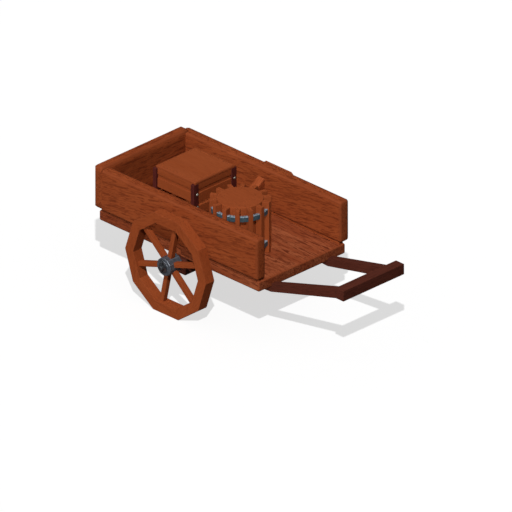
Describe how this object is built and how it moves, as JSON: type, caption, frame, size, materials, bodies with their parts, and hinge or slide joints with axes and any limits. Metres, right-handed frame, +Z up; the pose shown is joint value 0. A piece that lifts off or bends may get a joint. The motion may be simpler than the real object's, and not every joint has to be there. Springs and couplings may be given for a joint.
{
  "type": "mine cart",
  "caption": "Two-wheeled timber mine cart, hand drawn: a flat bed with sides and a tailboard, open in front, on spoked wheels with iron hubs, carrying a crate, a barrel and a pit prop.",
  "frame": {"origin": "on the ground, under the middle of the cart's overall length and width", "axes": "+X forwards along the bed to the handle, +Y to the cart's left, +Z up"},
  "size_m": [1.758, 0.935, 0.6785],
  "materials": {
    "floor_wood": "matte",
    "board_wood": "matte",
    "dark_wood": "satin",
    "wheel_wood": "matte",
    "crate_wood": "matte",
    "post_wood": "satin",
    "barrel_wood": "matte",
    "prop_wood": "matte",
    "black_iron": "satin",
    "hub_iron": "satin",
    "bush_brass": "satin",
    "hoop_iron": "satin",
    "nail_iron": "satin"
  },
  "bodies": {
    "cart": {"floor_plank_1": "floor_wood", "floor_plank_2": "floor_wood", "floor_plank_3": "floor_wood", "floor_plank_4": "floor_wood", "floor_plank_5": "floor_wood", "side_board_left": "board_wood", "side_board_right": "board_wood", "tailboard": "board_wood", "axle_beam": "dark_wood", "front_bolster": "dark_wood", "rear_batten": "dark_wood", "arm_left": "dark_wood", "arm_right": "dark_wood", "crossbar": "dark_wood", "crossbar_pegs": "dark_wood", "axle": "black_iron", "inner_washer_left": "black_iron", "inner_washer_right": "black_iron", "outer_washer_left": "black_iron", "outer_washer_right": "black_iron", "linchpin_left": "black_iron", "linchpin_right": "black_iron", "beam_bolts": "black_iron", "arm_bolts": "black_iron", "floor_nails": "black_iron", "side_spikes": "black_iron", "tailboard_nails": "black_iron"},
    "wheel_left": {"hub_left": "hub_iron", "bush_left": "bush_brass", "rim_left": "wheel_wood", "spoke_left_1": "wheel_wood", "spoke_left_2": "wheel_wood", "spoke_left_3": "wheel_wood", "spoke_left_4": "wheel_wood", "spoke_left_5": "wheel_wood", "spoke_left_6": "wheel_wood"},
    "wheel_right": {"hub_right": "hub_iron", "bush_right": "bush_brass", "rim_right": "wheel_wood", "spoke_right_1": "wheel_wood", "spoke_right_2": "wheel_wood", "spoke_right_3": "wheel_wood", "spoke_right_4": "wheel_wood", "spoke_right_5": "wheel_wood", "spoke_right_6": "wheel_wood"},
    "crate": {"crate_posts": "post_wood", "crate_side_slats": "crate_wood", "crate_end_slats": "crate_wood", "crate_base": "crate_wood", "crate_lid": "crate_wood", "crate_nails": "nail_iron"},
    "barrel": {"barrel_staves": "barrel_wood", "barrel_head": "barrel_wood", "barrel_bottom": "barrel_wood", "barrel_hoop_upper": "hoop_iron", "barrel_hoop_lower": "hoop_iron", "barrel_strips": "barrel_wood"},
    "pit_prop": {"pit_prop": "prop_wood"}
  },
  "joints": [
    {"name": "wheel_left_spin", "type": "hinge", "parent": "cart", "child": "wheel_left", "pos_m": [-0.2575, 0.3935, 0.28912], "axis": [0, 1, 0], "continuous": true},
    {"name": "wheel_right_spin", "type": "hinge", "parent": "cart", "child": "wheel_right", "pos_m": [-0.2575, -0.3935, 0.28912], "axis": [0, 1, 0], "continuous": true},
    {"name": "crate_lift", "type": "slide", "parent": "cart", "child": "crate", "axis": [0, 0, 1], "range_m": [0, 0.4]},
    {"name": "barrel_lift", "type": "slide", "parent": "cart", "child": "barrel", "axis": [0, 0, 1], "range_m": [0, 0.4]},
    {"name": "prop_lift", "type": "slide", "parent": "cart", "child": "pit_prop", "axis": [0, 0, 1], "range_m": [0, 0.35]}
  ]
}
